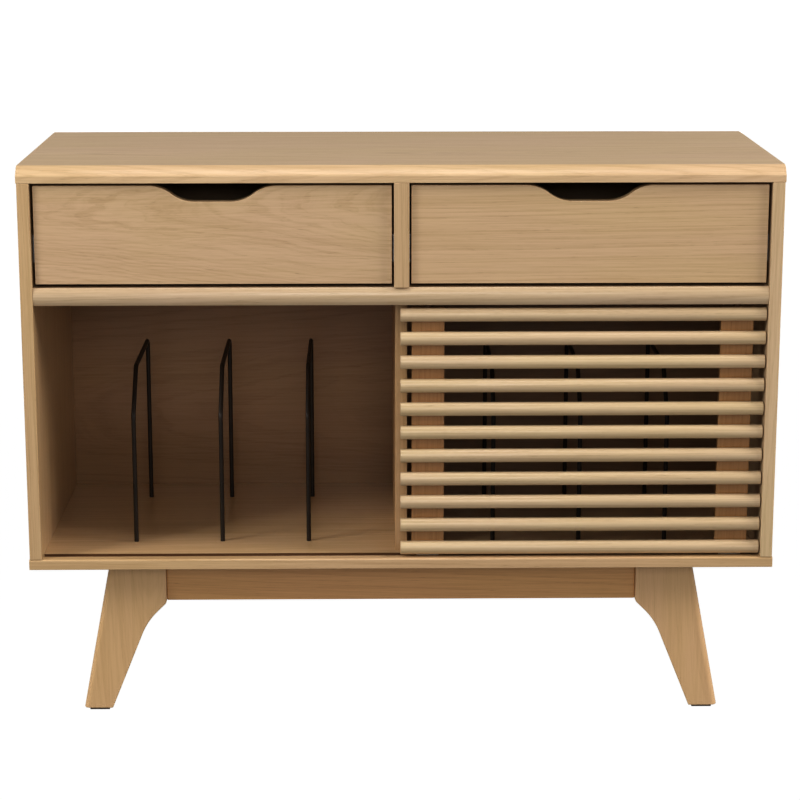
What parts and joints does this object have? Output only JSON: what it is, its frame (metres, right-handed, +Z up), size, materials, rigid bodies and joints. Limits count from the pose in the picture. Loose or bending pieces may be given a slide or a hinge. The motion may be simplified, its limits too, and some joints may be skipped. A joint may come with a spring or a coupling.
{
  "type": "record media cabinet",
  "caption": "Low wooden record cabinet on splayed legs: scooped drawers over an open bay and a bay behind a sliding slatted door, with wire record dividers.",
  "frame": {"origin": "middle of the footprint, on the floor", "axes": "+Z up, +X to the right seen from the front, the front faces -Y"},
  "size_m": [0.99, 0.394, 0.75],
  "materials": {
    "oak_panel": "satin lacquered oak veneer on board, fine open grain",
    "oak_solid": "satin lacquered solid oak, rounded edges",
    "oak_back": "thin oak-veneered board, seen in shade",
    "drawer_wood": "pale unstained birch plywood, clear lacquer",
    "black_wire": "black powder coat on bent steel wire, fine satin texture",
    "zinc_steel": "bright zinc-plated steel",
    "nylon": "natural off-white nylon",
    "pad": "dark brown felt pad",
    "track": "dark brown extruded plastic"
  },
  "bodies": {
    "carcass": {"top_panel": "oak_panel", "bottom_panel": "oak_panel", "left_side_panel": "oak_panel", "right_side_panel": "oak_panel", "middle_shelf": "oak_panel", "drawer_divider": "oak_panel", "bay_partition": "oak_panel", "back_panel": "oak_back", "front_apron": "oak_solid", "rear_apron": "oak_solid", "left_side_rail": "oak_solid", "right_side_rail": "oak_solid", "leg_front_left": "oak_solid", "leg_front_right": "oak_solid", "leg_rear_left": "oak_solid", "leg_rear_right": "oak_solid", "foot_pads": "pad", "record_divider_1": "black_wire", "record_divider_2": "black_wire", "record_divider_3": "black_wire", "record_divider_4": "black_wire", "record_divider_5": "black_wire", "record_divider_6": "black_wire", "door_tracks": "track", "slide_cabinet_channels": "zinc_steel", "wood_dowels": "drawer_wood", "cam_locks": "zinc_steel", "cam_bolts": "zinc_steel", "underside_screws": "zinc_steel", "back_panel_screws": "zinc_steel"},
    "sliding_door": {"door_slat_01": "oak_solid", "door_slat_02": "oak_solid", "door_slat_03": "oak_solid", "door_slat_04": "oak_solid", "door_slat_05": "oak_solid", "door_slat_06": "oak_solid", "door_slat_07": "oak_solid", "door_slat_08": "oak_solid", "door_slat_09": "oak_solid", "door_slat_10": "oak_solid", "door_slat_11": "oak_solid", "door_stile_left": "oak_solid", "door_stile_right": "oak_solid", "door_bottom_glides": "nylon", "door_top_guides": "track", "door_screws": "zinc_steel"},
    "left_drawer": {"left_drawer_front": "oak_panel", "left_drawer_side_outer": "drawer_wood", "left_drawer_side_inner": "drawer_wood", "left_drawer_back": "drawer_wood", "left_drawer_bottom": "drawer_wood", "left_slide_drawer_channels": "zinc_steel"},
    "right_drawer": {"right_drawer_front": "oak_panel", "right_drawer_side_outer": "drawer_wood", "right_drawer_side_inner": "drawer_wood", "right_drawer_back": "drawer_wood", "right_drawer_bottom": "drawer_wood", "right_slide_drawer_channels": "zinc_steel"},
    "left_slide_middle": {"left_slide_middle_channels": "zinc_steel"},
    "right_slide_middle": {"right_slide_middle_channels": "zinc_steel"}
  },
  "joints": [
    {"name": "door_slide", "type": "slide", "parent": "carcass", "child": "sliding_door", "axis": [-1, 0, 0], "range_m": [0, 0.475]},
    {"name": "left_drawer_slide", "type": "slide", "parent": "carcass", "child": "left_drawer", "axis": [0, -1, 0], "range_m": [0, 0.34]},
    {"name": "right_drawer_slide", "type": "slide", "parent": "carcass", "child": "right_drawer", "axis": [0, -1, 0], "range_m": [0, 0.34]},
    {"name": "left_slide_middle_travel", "type": "slide", "parent": "carcass", "child": "left_slide_middle", "axis": [0, -1, 0], "range_m": [0, 0.17]},
    {"name": "right_slide_middle_travel", "type": "slide", "parent": "carcass", "child": "right_slide_middle", "axis": [0, -1, 0], "range_m": [0, 0.17]}
  ],
  "couplings": [
    {"joint": "left_slide_middle_travel", "follows": "left_drawer_slide", "ratio": 0.5},
    {"joint": "right_slide_middle_travel", "follows": "right_drawer_slide", "ratio": 0.5}
  ]
}
